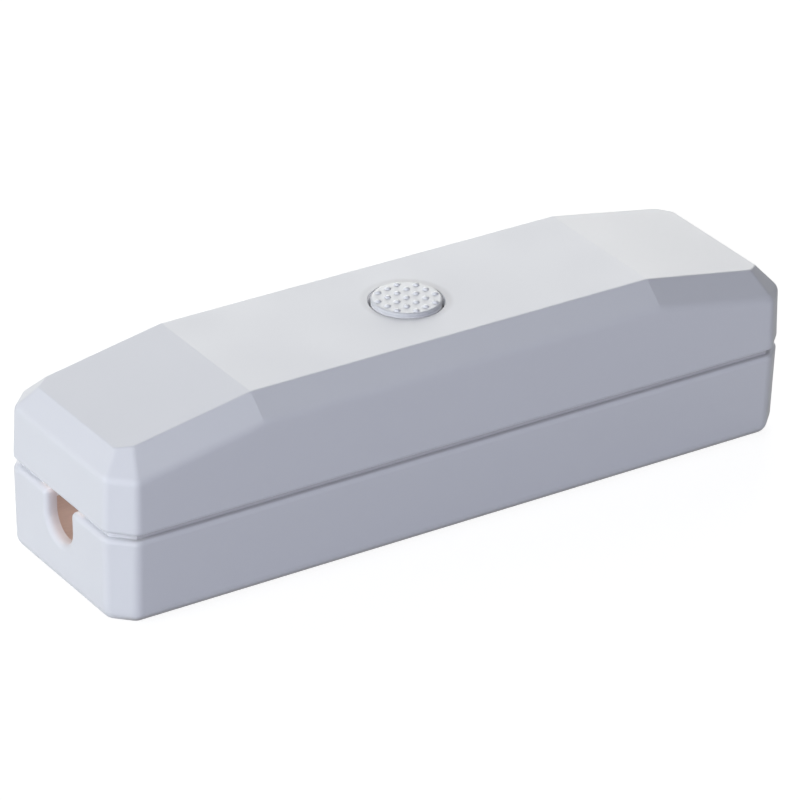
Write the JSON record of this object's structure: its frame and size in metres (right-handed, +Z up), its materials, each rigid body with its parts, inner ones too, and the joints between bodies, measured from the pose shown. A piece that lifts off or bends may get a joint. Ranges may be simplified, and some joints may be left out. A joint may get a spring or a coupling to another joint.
{
  "type": "inline cord dimmer",
  "caption": "Inline lamp cord dimmer: long faceted white plastic housing in two shells, cord inlet at each end, round dotted push button in the middle of the roof.",
  "frame": {"origin": "middle of the flat underside", "axes": "+X along the cord towards the output end, +Y across it, +Z up through the button"},
  "size_m": [0.1, 0.0278, 0.0264],
  "materials": {
    "housing_plastic": "satin white moulded plastic, fine texture",
    "button_plastic": "satin white moulded plastic",
    "screw_steel": "zinc plated",
    "clamp_fibre": "off-white moulded plastic",
    "board_phenolic": "brown phenolic paper laminate",
    "terminal_plastic": "grey moulded plastic",
    "clamp_brass": "plain brass",
    "switch_plastic": "black moulded plastic",
    "black_epoxy": "black epoxy",
    "film_case": "yellow box case",
    "ferrite": "dark grey ferrite",
    "copper_wire": "enamelled copper wire",
    "fuse_case": "brown case",
    "disc_coating": "blue epoxy coating",
    "can_aluminium": "aluminium can",
    "resistor_coating": "beige coating"
  },
  "bodies": {
    "housing": {"upper_housing": "housing_plastic", "lower_housing": "housing_plastic", "housing_screws": "screw_steel", "clamp_screws": "screw_steel", "board_screws": "screw_steel", "terminal_screws": "screw_steel", "input_cord_clamp": "clamp_fibre", "output_cord_clamp": "clamp_fibre", "circuit_board": "board_phenolic", "input_terminal": "terminal_plastic", "output_terminal": "terminal_plastic", "terminal_clamps": "clamp_brass", "switch_body": "switch_plastic", "power_transistor_a": "black_epoxy", "power_transistor_b": "black_epoxy", "bridge_rectifier": "black_epoxy", "controller_chip": "black_epoxy", "interference_capacitor": "film_case", "choke_core": "ferrite", "choke_winding": "copper_wire", "fuse": "fuse_case", "surge_disc": "disc_coating", "smoothing_capacitor": "can_aluminium", "dropper_resistor": "resistor_coating"},
    "button": {"push_button": "button_plastic", "switch_plunger": "switch_plastic"}
  },
  "joints": [
    {"name": "button_press", "type": "slide", "parent": "housing", "child": "button", "axis": [0, 0, -1], "range_m": [0, 0.0005], "stiffness_N_per_m": 2000, "springref_m": -0.0003}
  ]
}
